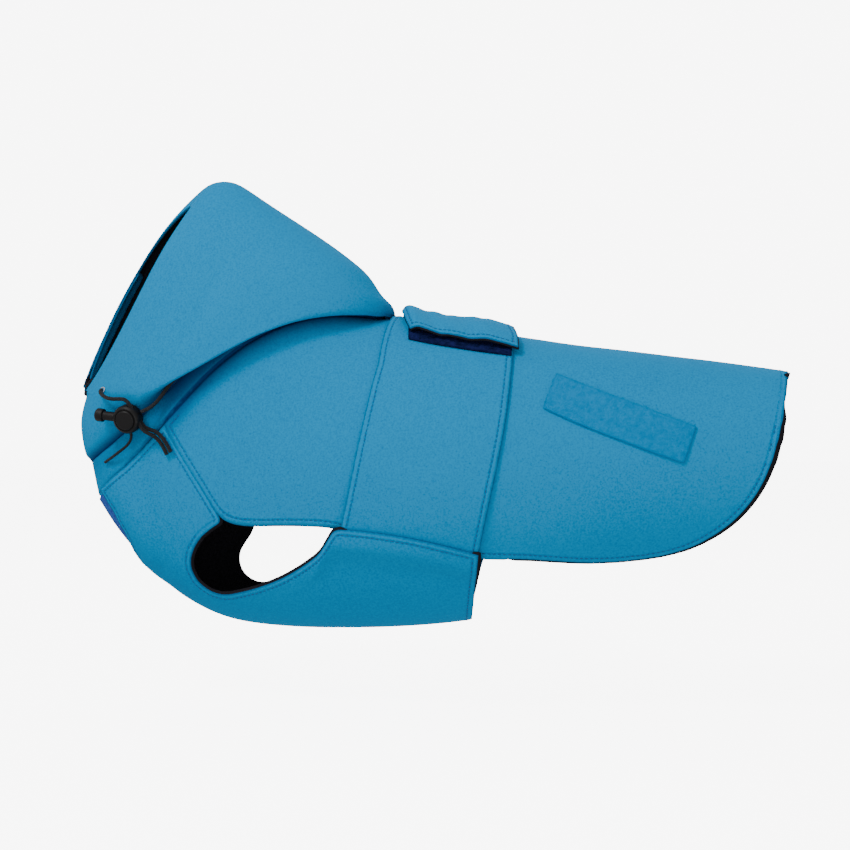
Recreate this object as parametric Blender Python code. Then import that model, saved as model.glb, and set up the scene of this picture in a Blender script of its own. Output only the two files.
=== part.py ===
"""Dog raincoat: a hooded softshell coat, filled out and empty.

Metres, +Z up. The head end points along -X and the coat's own left side along -Y.
The origin is inside the back panel, on the spine under the middle of the belt,
where the dog's back carries the coat.

The cloth follows three forms: the trunk, the collar and the hood. A form is a row of
rings, each a hoop round the dog. A place on a form is (ring, angle): the angle is zero
on the back or crown and grows towards the throat or belly, negative on the near side
(-Y) and positive on the far side (+Y). Each panel is a grid of such places, lifted off
the form by its layer and given the thickness of its cloth.
"""

import math

import bmesh
import bpy
from mathutils import Vector

MM = 0.001

# Cloth, tapes and seams
CLOTH = 2.0 * MM
TAPE = 1.0 * MM
TAIL_TAPE = 1.2 * MM
CASING_CLOTH = 1.4 * MM
SEAM_GAP = 0.3 * MM
LAYER_GAP = 0.4 * MM

# How far each layer's outer face stands off the form
ON_FORM = 0.0
ON_PANEL = LAYER_GAP + CLOTH
ON_BELT_TAPE = ON_PANEL + LAYER_GAP + TAPE
ON_HOOK_TAPE = ON_BELT_TAPE + LAYER_GAP + TAPE
ON_HOOKS = ON_HOOK_TAPE + 2 * LAYER_GAP + CLOTH
OVER_BELT_END = ON_PANEL + LAYER_GAP + CLOTH
ON_UNDERLAP = LAYER_GAP + TAPE
UNDER_CLOTH = -CLOTH - 1.5 * LAYER_GAP
OVER_CLOSURE = ON_UNDERLAP + LAYER_GAP + CLOTH

# Rings of the trunk from the neck seam to the tail, seen from the side, in millimetres:
# back_x, back_z, belly_x, belly_z, half_width, bow, skew
# Bow pushes the sides forward and up, and skew moves that push towards the back.
TRUNK_RINGS = (
    (-48.5, 6.3, -258.5, -118.0, 52, 26, 27, 0, 1),
    (-46.3, 6.9, -242.4, -141.7, 55, 21, 21),
    (-44.2, 7.3, -221.7, -164.7, 59, 16, 15),
    (-40.6, 7.6, -195.6, -188.9, 63, 11, 9),
    (-35.6, 7.2, -158.7, -205.5, 67, 7, 5),
    (-24.9, 5.7, -111.2, -210.5, 71, 4, 2),
    (-10.6, 3.1, -60.6, -210.0, 74, 1, 0),
    (10.6, -0.6, -10.6, -206.4, 76, 0, 0),
    (31.8, -3.5, 24.7, -201.2, 76, 0, 0),
    (73.7, -9.4, 73.7, -192.8, 74, 0, 0),
    (129.1, -16.7, 129.1, -181.6, 70, 0, 0),
    (183.7, -23.9, 183.7, -170.5, 64, 0, 0),
    (228.3, -30.3, 228.3, -159.7, 57, 0, 0),
)

# Rings of the hood from the neck seam out round the fold and up to the brim:
# crown_x, crown_z, throat_x, throat_z, half_width, bow, skew, turn, lead
# Turn swings the brim towards the near side, and lead sets the far throat ahead.
HOOD_RINGS = (
    (-51, 16, -264, -94, 50, 22, 27, 0.00, 1),
    (-47, 13, -272, -69, 58, 12, 28, 0.00, 5),
    (-43, 12, -267, -47, 64, 3, 27, 0.00, 5),
    (-47, 26, -268, -45, 62, 6, 22, 0.06, 4),
    (-85, 58, -269, -44, 56, 8, 15, 0.18, 3),
    (-136, 92, -270, -43, 48, 8, 9, 0.32, 2),
    (-160, 106.5, -270, -42, 42, 8, 7, 0.41, 1),
    (-180, 104.5, -270, -41, 37, 6, 4, 0.49, 0),
    (-193, 90, -270, -41, 33, 5, 3, 0.54, 0),
)
COLLAR_RINGS = (HOOD_RINGS[0], TRUNK_RINGS[0])
# The collar's grid stops short of the two seams, where the other pieces' grids differ from it
COLLAR_LINES = (0.015, 0.33, 0.67, 0.985)
HOOD_LINES = (0, 0.5, 1, 1.5, 1.8, 2, 2.2, 2.5, 3, 3.5, 4, 4.5, 5, 5.5, 6, 6.5, 7, 7.5, 8)
FULLNESS = 0.90
RING_COLUMNS = 9
THROAT = 172
CROWN = 0
BELLY = 180

# Lower edge of the back panel, then the chest's own edges: side views in millimetres
SHOULDER_SEAM = ((-196.9, -67.7), (-187.3, -82.5), (-176.5, -98.2), (-164.6, -115.8), (-153.5, -132.8))
LEG_HOLE_TOP = (
    (-153.5, -132.8), (-134.8, -135.2), (-116.0, -134.8), (-97.5, -134.6), (-84.0, -135.0), (-71.9, -136.0),
)
UNDER_CHEST = ((-71.9, -136.0), (-51.0, -142.2), (-24.7, -145.5), (1.1, -150.8), (18.0, -155.5))
TAIL_HEM = (
    (18.0, -155.5), (57.7, -156.7), (93.7, -158.8), (129.8, -156.7), (162.6, -148.5), (190.0, -131.0),
    (208.5, -107.0), (218.2, -80.0), (224.0, -54.0), (227.4, -33.5),
)

# The chest panel runs from its upper edge down to the closure or the belly seam:
# edge_x, edge_z, lower_ring, lift (share of the stand-off over the belt's end)
CHEST_SHOULDER = (
    (-196.9, -67.7, 0.00, 0), (-187.3, -82.5, 0.35, 0), (-176.5, -98.2, 0.75, 0),
    (-164.6, -115.8, 1.15, 0), (-153.5, -132.8, 1.50, 0),
)
CHEST_LEG_HOLE = (
    (-153.5, -132.8, 1.50, 0), (-164.1, -139.9, 1.85, 0), (-172.6, -147.5, 2.20, 0),
    (-178.5, -157.7, 2.55, 0), (-179.7, -167.2, 2.85, 0), (-176.0, -176.5, 3.15, 0),
    (-168.8, -182.8, 3.45, 0), (-159.1, -185.9, 3.75, 0), (-146.9, -184.2, 4.05, 0),
    (-128.6, -178.8, 4.45, 0), (-109.0, -170.5, 4.90, 0), (-88.4, -157.3, 5.25, 0.25),
    (-79.6, -147.2, 5.40, 0.7), (-71.9, -136.3, 5.60, 1),
)
CHEST_FLANK = (
    (-71.9, -136.3, 5.60, 1), (-51.0, -137.7, 5.95, 1), (-24.7, -141.0, 6.55, 1),
    (1.1, -146.3, 7.15, 1), (24.0, -151.9, 7.65, 1),
)
# The far half's leg hole lies further back and its rear edge further forward.
# The shift grows down from the hole's top corner and forward from its rear, in millimetres.
FAR_LEG_SHIFT = 11.0
FAR_LEG_TOP, FAR_LEG_DROP = -133.0, 14.0
FAR_LEG_REAR, FAR_LEG_REACH = -105.0, 60.0
FAR_REAR = (14.5, -150.5, 7.45, 1)
CHEST_FLAT = 12.0 * MM
CHEST_SLOPE = 14.0 * MM
# Shares of the chest's height at which its grid has a line
CHEST_LINES = (0, 0.05, 0.10, 0.16, 0.23, 0.32, 0.43, 0.55, 0.67, 0.78, 0.89, 1)

# The closure at the throat: ring, angle of the near edge, angle of the underlap's edge
CLOSURE = ((0.0, 154, 142), (0.77, 154, 143), (1.4, 158, 148), (1.8, 166, 158), (2.2, 180, 180))
CLOSURE_END = 2.2
CLOSURE_FLAT = 12.0 * MM
CLOSURE_SLOPE = 22.0 * MM
CLOSURE_FADE = (1.9, 2.8)
# The loop tape beside it: its first and last ring, its lowest angle, its inset and least width
TAPE_RINGS = (0.14, 1.70)
TAPE_LOWER = 170
TAPE_INSET = 3
TAPE_LEAST = 6

# The belt's front and rear edges, from under the chest up to the spine:
# front_x, front_z, rear_x, rear_z
BELT_SIDE = (
    (-68.9, -141.5, 22.5, -156.0), (-61.0, -107.6, 35.9, -98.1), (-52.9, -67.1, 41.9, -63.4),
    (-47.5, -38.0, 44.0, -36.0), (-44.8, -20.9, 44.1, -24.0), (-43.1, 0.4, 43.7, -13.6),
)
BELT_TOP = (-42.6, 7.4, 43.0, -5.2)
FLAP_SPINE = (-38.0, 7.5, 40.0, -4.8)
FLAP_NEAR = ((-33.5, 2.6, 45.6, -11.2), (-26.9, -6.4, 47.9, -19.4))
# The flap's three soft lobes across its width: share of the width, rise in millimetres
FLAP_LOBES = (
    (0.00, -1.2), (0.05, 1.4), (0.14, 3.0), (0.25, 2.1), (0.36, 0.3), (0.44, 1.3),
    (0.54, 1.1), (0.67, 0.2), (0.76, 2.3), (0.84, 2.4), (0.93, 0.6), (1.00, -1.2),
)
FLAP_RISE = (28, -2)
LOBE_FADE = (40, 8)

# Tapes on the belt: front_x, front_z, rear_x, rear_z of the upper and lower edge
LOOP_TAPE = ((-29.0, 2.5, 41.5, -9.5), (-26.4, -10.7, 43.5, -22.6))
HOOK_TAPE = ((-27.0, 3.2, 40.5, -9.0), (-21.5, -4.9, 41.0, -17.0))

# The tape patch on the near side of the tail: front top, rear top, rear foot, front foot
TAIL_PATCH = ((75.1, -33.9), (165.9, -69.0), (158.2, -91.8), (67.5, -56.1))

# The casing inside the hood's brim: its first and last angle, and its width at each
CASING_ANGLES = (74, 154)
CASING_WIDTHS = (9.0 * MM, 4.0 * MM)
# Small steps across and round the hood, for finding directions on it
SMALL_RING = 0.02
SMALL_TURN = 0.5

# The cord lock, a thick disc: its middle, the way its face looks and the way its button is pressed.
# A place by the lock is (along the press, up its face, out of its face), in millimetres.
LOCK_MIDDLE = Vector((-220.8, -53.3, -63.0)) * MM
LOCK_FACE = Vector((-0.180, -0.949, -0.260)).normalized()
PRESS_WAY = Vector((0.980, -0.151, -0.126))
LOCK_PRESS = (PRESS_WAY - LOCK_FACE * PRESS_WAY.dot(LOCK_FACE)).normalized()
LOCK_UP = LOCK_FACE.cross(LOCK_PRESS)
# Distance along the axis and radius of each turned edge
LOCK_PROFILE = (
    (-5.0, 8.4), (-4.2, 9.4), (-2.8, 10.0), (2.6, 10.0), (4.2, 9.3), (5.0, 8.2), (5.0, 7.6),
    (4.5, 7.4), (4.5, 7.0), (5.4, 6.8), (6.0, 6.2),
)
BUTTON_PROFILE = (
    (-24.6, 2.6), (-24.2, 3.9), (-23.3, 4.6), (-19.0, 4.6), (-18.5, 4.1), (-18.5, 3.2), (-3.9, 3.2),
    (-3.5, 2.8),
)
BORE = ((-14.0, 2.3), 3.6)
# The hole for the cords, from the top of the lock to its rear side, and two cords one above the other
CORD_HOLE = ((-0.55, 14.87), (12.75, -7.67))
CORD_HOLE_RADIUS = 1.75
CORD_STACK = 1.5
CORD_RADIUS = 1.35 * MM
RETAINER_RADIUS = 1.0 * MM
FRONT_CORD = (
    (-28.0, 13.6, -13.9), (-26.9, 13.4, -10.3), (-23.6, 12.6, -6.7), (-18.8, 12.0, -3.6), (-13.5, 12.2, -1.4),
    (-8.5, 13.1, -0.2), (-4.4, 13.8, 0.8), (-1.9, 13.7, 1.2), (0.2, 12.6, 1.4), (1.8, 10.9, 1.5),
    (3.2, 8.5, 1.5), (5.0, 5.5, 1.5), (7.2, 1.7, 1.5), (9.4, -2.0, 1.5), (11.0, -4.7, 1.4),
    (13.0, -6.9, 0.9), (15.6, -8.5, 0.1), (18.5, -9.9, -0.8), (21.1, -11.9, -1.5), (23.9, -14.6, -1.4),
    (26.9, -18.0, -0.5), (29.7, -21.7, 0.6),
)
LOOSE_CORD = (
    (3.2, 8.5, -1.5), (5.0, 5.5, -1.5), (7.2, 1.7, -1.5), (9.4, -2.0, -1.5), (11.3, -4.3, -1.6),
    (13.5, -5.7, -1.9), (16.3, -6.4, -2.2), (19.3, -7.1, -2.4), (22.4, -8.8, -2.3), (25.8, -11.5, -1.7),
    (29.2, -15.2, -0.8), (32.5, -19.6, 0.4),
)
REAR_CORD = (
    (36.0, 35.6, -11.0), (33.2, 32.6, -9.8), (28.6, 27.4, -9.0), (23.8, 20.6, -8.0), (19.4, 13.8, -6.2),
    (15.6, 9.6, -3.6), (12.4, 7.6, -1.4), (9.9, 6.0, 0.0),
)
RETAINER = (
    (1.5, -10.3, -1.0), (1.6, -14.0, -1.2), (-0.6, -18.4, -1.4), (-4.6, -22.6, -1.6), (-9.6, -26.8, -2.4),
    (-15.0, -31.2, -4.6), (-19.4, -34.6, -7.0), (-23.0, -37.4, -8.9),
)
# The eyelet that the front cord leaves by, in the hood
EYELET_MIDDLE = Vector((-243.8, -38.4, -43.5)) * MM
EYELET_FACE = Vector((-0.53, -0.74, 0.40)).normalized()
EYELET_PROFILE = ((0.7, 2.0), (0.7, 2.9), (1.0, 2.9), (1.3, 2.6), (1.3, 2.2), (1.1, 2.0))


def blend(low, high, part):
    return low + (high - low) * part


def ease(part):
    """Rises from 0 to 1 with level ends."""
    part = min(max(part, 0.0), 1.0)
    return part * part * (3 - 2 * part)


def steps(count):
    return [i / count for i in range(count + 1)]


def along(rows, place):
    """A smooth curve through the rows of a table, read at a row number."""
    last = len(rows) - 1
    place = min(max(place, 0.0), float(last))
    first = min(int(place), last - 1)
    part = place - first
    here, after = rows[first], rows[first + 1]
    before = rows[first - 1] if first > 0 else [2 * a - b for a, b in zip(here, after)]
    beyond = rows[first + 2] if first + 2 <= last else [2 * b - a for a, b in zip(here, after)]
    return [
        0.5 * (2 * b + (c - a) * part
               + (2 * a - 5 * b + 4 * c - d) * part ** 2
               + (3 * b - a - 3 * c + d) * part ** 3)
        for a, b, c, d in zip(before, here, after, beyond)
    ]


def look_up(rows, key):
    """Straight reading between the rows of a table whose first column rises."""
    for low, high in zip(rows, rows[1:]):
        if key <= high[0]:
            part = (key - low[0]) / (high[0] - low[0])
            return [blend(a, b, part) for a, b in zip(low, high)]
    return list(rows[-1])


class Form:
    """A surface that the outside of the cloth follows."""

    STEP = 0.002

    def __init__(self, rings, facing=1):
        self.rings = [tuple(row) + (0.0,) * (RING_COLUMNS - len(row)) for row in rings]
        self.last = len(rings) - 1
        self.facing = facing

    def frame(self, ring):
        """Top point, chord length, chord direction, forward direction and the ring's shape."""
        top_x, top_z, foot_x, foot_z, *shape = along(self.rings, ring)
        length = math.hypot(foot_x - top_x, foot_z - top_z)
        down = ((foot_x - top_x) / length, (foot_z - top_z) / length)
        return (top_x, top_z), length, down, (down[1], -down[0]), shape

    def spot(self, ring, angle):
        top, length, down, ahead, (width, bow, skew, turn, lead) = self.frame(ring)
        sine, cosine = math.sin(math.radians(angle)), math.cos(math.radians(angle))
        fall = length * (1 - cosine) / 2
        push = (bow + skew * cosine) * sine * sine
        y = math.copysign(width * abs(sine) ** FULLNESS, sine)
        x = top[0] + down[0] * fall + ahead[0] * push - turn * y
        if y > 0 and cosine < 0:
            x -= lead * cosine * cosine
        z = top[1] + down[1] * fall + ahead[1] * push
        return Vector((x, y, z)) * MM

    def normal(self, ring, angle):
        low, high = max(ring - self.STEP, 0.0), min(ring + self.STEP, float(self.last))
        across = self.spot(high, angle) - self.spot(low, angle)
        around = self.spot(ring, angle + 50 * self.STEP) - self.spot(ring, angle - 50 * self.STEP)
        return across.cross(around).normalized() * self.facing

    def point(self, place, lift=0.0):
        return self.spot(*place) + self.normal(*place) * lift

    def locate(self, x, z, side=-1):
        """The place whose side view is x, z in millimetres. Side is -1 near and 1 far."""
        low, high = 0.0, float(self.last)
        for _ in range(40):
            middle = (low + high) / 2
            top, length, down, ahead, (_, bow, skew, _, _) = self.frame(middle)
            fall = (x - top[0]) * down[0] + (z - top[1]) * down[1]
            cosine = min(max(1 - 2 * fall / length, -1.0), 1.0)
            push = (bow + skew * cosine) * (1 - cosine * cosine)
            behind = (x - top[0]) * ahead[0] + (z - top[1]) * ahead[1] < push
            if behind == (self.facing > 0):
                low = middle
            else:
                high = middle
        return middle, side * math.degrees(math.acos(cosine))


TRUNK = Form(TRUNK_RINGS)
HOOD = Form(HOOD_RINGS, facing=-1)
COLLAR = Form(COLLAR_RINGS)


def curve(rows, substeps):
    """The rows of a table with smooth rows put in between."""
    count = (len(rows) - 1) * substeps
    return [along(rows, i / substeps) for i in range(count + 1)]


def toward(first, second, part):
    """The place that lies part of the way from the first to the second."""
    return blend(first[0], second[0], part), blend(first[1], second[1], part)


def between(first, last, count):
    """Places in a straight line from the first place to the last."""
    return [toward(first, last, t) for t in steps(count)]


def trimmed(form, grid):
    """The grid with each of its borders drawn in by half a seam gap."""

    def draw_in(line):
        spacing = (form.spot(*line[0]) - form.spot(*line[1])).length
        return [toward(line[0], line[1], SEAM_GAP / 2 / spacing)] + line[1:]

    def draw_in_both(line):
        return draw_in(draw_in(list(line))[::-1])[::-1]

    rows = [draw_in_both(row) for row in grid]
    columns = [draw_in_both(column) for column in zip(*rows)]
    return [list(row) for row in zip(*columns)]


def material(name, colour, roughness, metallic=0.0):
    finish = bpy.data.materials.get(name)
    if finish is None:
        finish = bpy.data.materials.new(name)
        finish.use_nodes = True
        shader = finish.node_tree.nodes["Principled BSDF"]
        shader.inputs["Base Color"].default_value = (*colour, 1)
        shader.inputs["Roughness"].default_value = roughness
        shader.inputs["Metallic"].default_value = metallic
        finish.diffuse_color = (*colour, 1)
    return finish


def softshell():
    return material("blue softshell", (0.018, 0.34, 0.60), 0.85)


def dark_tape():
    return material("dark hook and loop tape", (0.012, 0.012, 0.05), 0.95)


def blue_tape():
    return material("blue loop tape", (0.016, 0.28, 0.52), 0.95)


def violet_tape():
    return material("violet loop tape", (0.03, 0.05, 0.32), 0.95)


def black_plastic():
    return material("black plastic", (0.012, 0.011, 0.012), 0.45)


def black_elastic():
    return material("black elastic cord", (0.010, 0.009, 0.012), 0.8)


def steel():
    return material("eyelet steel", (0.60, 0.60, 0.62), 0.25, 1.0)


def finish_object(name, mesh, finish):
    thing = bpy.data.objects.new(name, mesh)
    thing.data.materials.append(finish)
    bpy.context.scene.collection.objects.link(thing)
    return thing


def closed_solid(name, build, finish):
    bmesh.ops.recalc_face_normals(build, faces=build.faces)
    mesh = bpy.data.meshes.new(name)
    build.to_mesh(mesh)
    build.free()
    mesh.shade_smooth()
    mesh.set_sharp_from_angle(angle=math.radians(40))
    return finish_object(name, mesh, finish)


def wall(name, outer, inner, finish):
    """A closed wall between two grids of points."""
    build = bmesh.new()
    layers = [[[build.verts.new(point) for point in row] for row in grid] for grid in (outer, inner)]
    rows, columns = len(outer), len(outer[0])
    for layer in layers:
        for i in range(rows - 1):
            for j in range(columns - 1):
                build.faces.new((layer[i][j], layer[i + 1][j], layer[i + 1][j + 1], layer[i][j + 1]))
    border = [(0, j) for j in range(columns)]
    border += [(i, columns - 1) for i in range(1, rows)]
    border += [(rows - 1, j) for j in range(columns - 2, -1, -1)]
    border += [(i, 0) for i in range(rows - 2, 0, -1)]
    for (a, b), (c, d) in zip(border, border[1:] + border[:1]):
        build.faces.new((layers[0][a][b], layers[0][c][d], layers[1][c][d], layers[1][a][b]))
    return closed_solid(name, build, finish)


def panel(name, form, grid, finish, lift=lambda i, j: ON_FORM, thickness=CLOTH):
    """Cloth whose outer face stands lift(row, column) off the form at a grid of places."""
    outer = [[form.point(place, lift(i, j)) for j, place in enumerate(row)] for i, row in enumerate(grid)]
    inner = [
        [form.point(place, lift(i, j) - thickness) for j, place in enumerate(row)]
        for i, row in enumerate(grid)
    ]
    return wall(name, outer, inner, finish)


def distances(form, row):
    """How far each place of a row is from the row's first place."""
    points = [form.spot(*place) for place in row]
    total = [0.0]
    for first, second in zip(points, points[1:]):
        total.append(total[-1] + (second - first).length)
    return total


def back_panel():
    """The saddle over the back, from the neck seam to the tail, in one piece."""
    edge = list(SHOULDER_SEAM) + list(LEG_HOLE_TOP[1:]) + list(UNDER_CHEST[1:]) + curve(TAIL_HEM, 2)[1:]
    across = 20
    grid = []
    for x, z in edge:
        ring, angle = TRUNK.locate(x, z)
        grid.append(between((ring, angle), (ring, -angle), across))
    panel("back_panel", TRUNK, trimmed(TRUNK, grid), softshell())


def far_leg_hole(x, z):
    """Moves the front of the leg hole's lower edge back on the far half."""
    below_corner = ease((FAR_LEG_TOP - z) / FAR_LEG_DROP)
    towards_front = ease((FAR_LEG_REAR - x) / FAR_LEG_REACH)
    return x + FAR_LEG_SHIFT * below_corner * towards_front


def chest_rows(near):
    leg_hole, flank = CHEST_LEG_HOLE, CHEST_FLANK
    if not near:
        leg_hole = [(far_leg_hole(x, z), z, *rest) for x, z, *rest in leg_hole]
        flank = flank[:-1] + (FAR_REAR,)
    return curve(CHEST_SHOULDER, 2)[:-1] + curve(leg_hole, 2)[:-1] + curve(flank, 2)


def chest_panel(name, side):
    """One half of the chest, from the neck seam round the leg hole to behind the belt."""
    near = side < 0
    rows = chest_rows(near)
    grid = []
    for x, z, lower_ring, _ in rows:
        ring, angle = TRUNK.locate(x, z, side)
        _, near_edge, underlap_edge = look_up(CLOSURE, lower_ring)
        lower = -near_edge if near else 360 - underlap_edge
        if lower_ring > CLOSURE_END:
            lower = side * BELLY
        grid.append([toward((ring, angle), (lower_ring, lower), share) for share in CHEST_LINES])
    grid = trimmed(TRUNK, grid)
    from_top = [distances(TRUNK, row) for row in grid]
    from_closure = [distances(TRUNK, row[::-1])[::-1] for row in grid]

    def lift(i, j):
        over_belt = rows[i][3] * (1 - ease((from_top[i][j] - CHEST_FLAT) / CHEST_SLOPE))
        start, end = CLOSURE_FADE
        over_closure = 1 - ease((rows[i][2] - start) / (end - start))
        over_closure *= 1 - ease((from_closure[i][j] - CLOSURE_FLAT) / CLOSURE_SLOPE)
        return over_belt * OVER_BELT_END + (over_closure * OVER_CLOSURE if near else 0)

    panel(name, TRUNK, grid, softshell(), lift)


def belt_grid(rows, across):
    """Rows of places from the belt's front edge to its rear edge."""
    grid = []
    for front_x, front_z, rear_x, rear_z, side in rows:
        front, rear = TRUNK.locate(front_x, front_z, side), TRUNK.locate(rear_x, rear_z, side)
        grid.append([*front, *rear])
    return [between(row[:2], row[2:], across) for row in curve(grid, 3)]


def belt_left():
    """The near wing of the belt, from under the chest to the spine."""
    rows = [(*row, -1) for row in BELT_SIDE] + [(*BELT_TOP, -1)]
    panel("belt_left", TRUNK, belt_grid(rows, 6), softshell(), lambda i, j: ON_PANEL)


def belt_right():
    """The far wing, which crosses the spine and closes on the near wing as a flap."""
    rows = [(*row, 1) for row in BELT_SIDE] + [(*FLAP_SPINE, -1)] + [(*row, -1) for row in FLAP_NEAR]
    across = 14
    grid = belt_grid(rows, across)

    def lift(i, j):
        angle = grid[i][j][1]
        start, end = FLAP_RISE
        rise = ease((start - angle) / (start - end))
        start, end = LOBE_FADE
        lobes = ease((start - angle) / (start - end)) * look_up(FLAP_LOBES, j / across)[1] * MM
        return blend(ON_PANEL, ON_HOOKS, rise) + lobes

    panel("belt_right", TRUNK, grid, softshell(), lift)


def belt_tape(name, edges, lift):
    rows = [(*row, -1) for row in edges]
    panel(name, TRUNK, belt_grid(rows, 8), dark_tape(), lambda i, j: lift, TAPE)


def closure_tape():
    """Loop tape on the far chest's underlap, next to the near front edge."""
    grid = []
    for t in steps(8):
        ring = blend(*TAPE_RINGS, t)
        upper = look_up(CLOSURE, ring)[2] + TAPE_INSET
        lower = max(TAPE_LOWER, upper + TAPE_LEAST)
        grid.append(between((ring, -upper), (ring, -lower), 4))
    panel("closure_tape", TRUNK, grid, violet_tape(), lambda i, j: ON_UNDERLAP, TAPE)


def tail_patch():
    """A strip of loop tape sewn on the near side of the tail."""
    corners = [TRUNK.locate(x, z) for x, z in TAIL_PATCH]
    front_top, rear_top, rear_foot, front_foot = corners
    tops = between(front_top, rear_top, 12)
    feet = between(front_foot, rear_foot, 12)
    grid = [between(top, foot, 4) for top, foot in zip(tops, feet)]
    panel("tail_patch", TRUNK, grid, blue_tape(), lambda i, j: LAYER_GAP + TAIL_TAPE, TAIL_TAPE)


def hood_half(name, side):
    """One half of the hood, from its neck seam round the fold and up to the brim."""
    grid = [between((ring, CROWN), (ring, side * THROAT), 14) for ring in HOOD_LINES]
    panel(name, HOOD, trimmed(HOOD, grid), softshell())


def place_behind_brim(angle, width):
    """The place on the hood that lies a given width straight in from the brim at an angle."""
    brim = HOOD.spot(HOOD.last, angle)
    way = HOOD.spot(HOOD.last, angle + SMALL_TURN) - HOOD.spot(HOOD.last, angle - SMALL_TURN)
    inward = way.cross(HOOD.normal(HOOD.last, angle)).normalized()
    if inward.dot(HOOD.spot(HOOD.last - SMALL_RING, angle) - brim) < 0:
        inward.negate()
    target = brim + inward * width
    ring, turn = HOOD.last - SMALL_RING, angle
    for _ in range(20):
        here = HOOD.spot(ring, turn)
        per_ring = (here - HOOD.spot(ring - SMALL_RING, turn)) / SMALL_RING
        per_turn = (HOOD.spot(ring, turn + SMALL_TURN) - here) / SMALL_TURN
        gap = target - here
        mixed = per_ring.dot(per_turn)
        scale = per_ring.dot(per_ring) * per_turn.dot(per_turn) - mixed * mixed
        ring += (gap.dot(per_ring) * per_turn.dot(per_turn) - gap.dot(per_turn) * mixed) / scale
        turn += (gap.dot(per_turn) * per_ring.dot(per_ring) - gap.dot(per_ring) * mixed) / scale
        ring = min(ring, HOOD.last - SMALL_RING)
    return ring, turn


def hood_casing(name, side):
    """The band of face cloth turned in behind the brim, which holds the draw cord."""
    outer, inner = [], []
    for t in steps(12):
        angle = side * blend(*CASING_ANGLES, t)
        brim = (HOOD.last - SMALL_RING, angle)
        behind = place_behind_brim(angle, blend(*CASING_WIDTHS, t))
        out = (HOOD.normal(*brim) + HOOD.normal(*behind)).normalized()
        row = [HOOD.spot(*place) + out * UNDER_CLOTH for place in between(behind, brim, 3)]
        outer.append(row)
        inner.append([point - out * CASING_CLOTH for point in row])
    wall(name, outer, inner, softshell())


def collar():
    """The band between the neck seam and the hood, open at the throat."""
    grid = [between((ring, -THROAT), (ring, THROAT), 28) for ring in COLLAR_LINES]
    panel("collar", COLLAR, trimmed(COLLAR, grid), softshell())


def lock_place(press, up, out):
    return LOCK_MIDDLE + (LOCK_PRESS * press + LOCK_UP * up + LOCK_FACE * out) * MM


def turned(name, profile, middle, axis, finish, sides, hollow=False):
    """A solid turned about an axis, or a ring if it is hollow."""
    across = axis.orthogonal().normalized()
    other = axis.cross(across)
    build = bmesh.new()
    hoops = []
    for along_axis, radius in profile:
        hoop = []
        for i in range(sides):
            turn = math.tau * i / sides
            spread = across * math.cos(turn) + other * math.sin(turn)
            hoop.append(build.verts.new((axis * along_axis + spread * radius) * MM))
        hoops.append(hoop)
    pairs = list(zip(hoops, hoops[1:]))
    if hollow:
        pairs.append((hoops[-1], hoops[0]))
    else:
        build.faces.new(hoops[0])
        build.faces.new(hoops[-1])
    for first, second in pairs:
        for i in range(sides):
            j = (i + 1) % sides
            build.faces.new((first[i], first[j], second[j], second[i]))
    thing = closed_solid(name, build, finish)
    thing.location = middle
    return thing


def cord_hole():
    """A straight hole wide enough for two cords, as a solid to cut with."""
    build = bmesh.new()
    way = LOCK_PRESS * (CORD_HOLE[1][0] - CORD_HOLE[0][0]) + LOCK_UP * (CORD_HOLE[1][1] - CORD_HOLE[0][1])
    side = way.normalized().cross(LOCK_FACE)
    corners = 12
    for press, up in CORD_HOLE:
        for stack in (-CORD_STACK, CORD_STACK):
            middle = lock_place(press, up, stack)
            for i in range(corners):
                turn = math.tau * i / corners
                spread = side * math.cos(turn) + LOCK_FACE * math.sin(turn)
                build.verts.new(middle + spread * CORD_HOLE_RADIUS * MM)
    bmesh.ops.convex_hull(build, input=build.verts)
    loose = [vert for vert in build.verts if not vert.link_faces]
    bmesh.ops.delete(build, geom=loose, context="VERTS")
    return closed_solid("cord hole", build, black_plastic())


def cut_away(thing, cutter):
    """Cuts one closed solid out of another, and removes it."""
    cutting = thing.modifiers.new("cut", "BOOLEAN")
    cutting.operation = "DIFFERENCE"
    cutting.solver = "EXACT"
    cutting.object = cutter
    graph = bpy.context.evaluated_depsgraph_get()
    mesh = bpy.data.meshes.new_from_object(thing.evaluated_get(graph))
    thing.modifiers.clear()
    thing.data = mesh
    bpy.data.objects.remove(cutter, do_unlink=True)


def cord_lock():
    body = turned("cord_lock", LOCK_PROFILE, LOCK_MIDDLE, LOCK_FACE, black_plastic(), 40)
    (start, end), radius = BORE
    bore = ((start, radius), (end, radius))
    cut_away(body, turned("bore", bore, LOCK_MIDDLE, LOCK_PRESS, black_plastic(), 24))
    cut_away(body, cord_hole())


def lock_button():
    turned("lock_button", BUTTON_PROFILE, LOCK_MIDDLE, LOCK_PRESS, black_plastic(), 24)


def eyelet():
    turned("eyelet", EYELET_PROFILE, EYELET_MIDDLE, EYELET_FACE, steel(), 24, hollow=True)


def cord(name, places, radius):
    """A round cord through places by the lock."""
    route = [lock_place(*place) for place in curve(places, 2)]
    line = bpy.data.curves.new(name, "CURVE")
    line.dimensions = "3D"
    line.bevel_depth = radius
    line.bevel_resolution = 2
    line.use_fill_caps = True
    spline = line.splines.new("POLY")
    spline.points.add(len(route) - 1)
    for point, place in zip(spline.points, route):
        point.co = (*place, 1)
    finish_object(name, line, black_elastic())


def clear_scene():
    for thing in list(bpy.data.objects):
        bpy.data.objects.remove(thing, do_unlink=True)


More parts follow.
